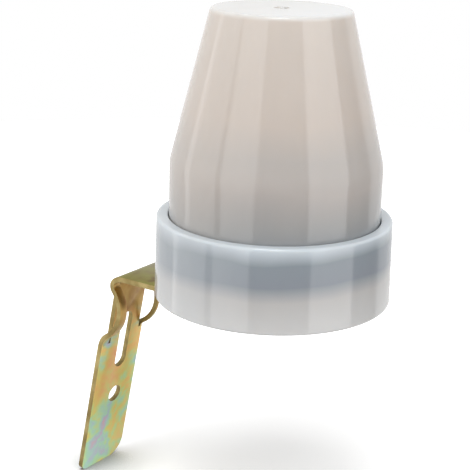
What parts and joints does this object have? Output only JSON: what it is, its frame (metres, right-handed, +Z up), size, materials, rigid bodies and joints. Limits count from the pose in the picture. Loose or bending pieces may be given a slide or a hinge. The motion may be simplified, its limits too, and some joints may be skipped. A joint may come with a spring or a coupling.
{
  "type": "photocell switch",
  "caption": "Photocell switch with a tapered translucent dome on a round base ring, carried by a folded plated steel bracket with a slot, a hole and lanced strap loops for fixing to a wall.",
  "frame": {"origin": "centre of the bracket's round wall hole, on the leg's face that meets the wall", "axes": "+Z up along the dome's axis, +Y out from the dome towards the wall, +X across the bracket's width"},
  "size_m": [0.0686, 0.1013, 0.1571],
  "materials": {
    "dome_plastic": "glossy translucent warm grey moulding",
    "ring_plastic": "glossy translucent bluish white moulding",
    "white_plastic": "glossy white moulding",
    "black_rubber": "matt black rubber",
    "yellow_zinc": "zinc plated steel with an iridescent yellow chromate film",
    "bright_zinc": "bright zinc plated steel",
    "board_laminate": "tan paper laminate",
    "black_moulding": "matt black moulded epoxy",
    "sensor_ceramic": "light sensitive film on a ceramic disc under clear resin",
    "red_epoxy": "dipped red epoxy",
    "capacitor_sleeve": "shrunk dark sleeve",
    "diode_glass": "small glass body",
    "resistor_lacquer": "beige lacquer",
    "blue_epoxy": "dipped blue epoxy"
  },
  "bodies": {
    "root": {"dome_cover": "dome_plastic", "base_ring": "ring_plastic", "base_plate": "white_plastic", "dome_seal": "black_rubber", "cable_grommet": "black_rubber", "mounting_bracket": "yellow_zinc", "bracket_screw": "bright_zinc", "spring_washer": "bright_zinc", "bracket_nut": "bright_zinc", "circuit_board": "board_laminate", "board_screw_1": "bright_zinc", "board_screw_2": "bright_zinc", "relay": "black_moulding", "light_sensor": "sensor_ceramic", "dropper_capacitor": "red_epoxy", "smoothing_capacitor": "capacitor_sleeve", "rectifier_diode_1": "black_moulding", "rectifier_diode_2": "black_moulding", "rectifier_diode_3": "black_moulding", "rectifier_diode_4": "black_moulding", "zener_diode": "diode_glass", "surge_resistor": "resistor_lacquer", "bleed_resistor": "resistor_lacquer", "bias_resistor": "resistor_lacquer", "switching_transistor": "black_moulding", "surge_varistor": "blue_epoxy"}
  },
  "joints": []
}
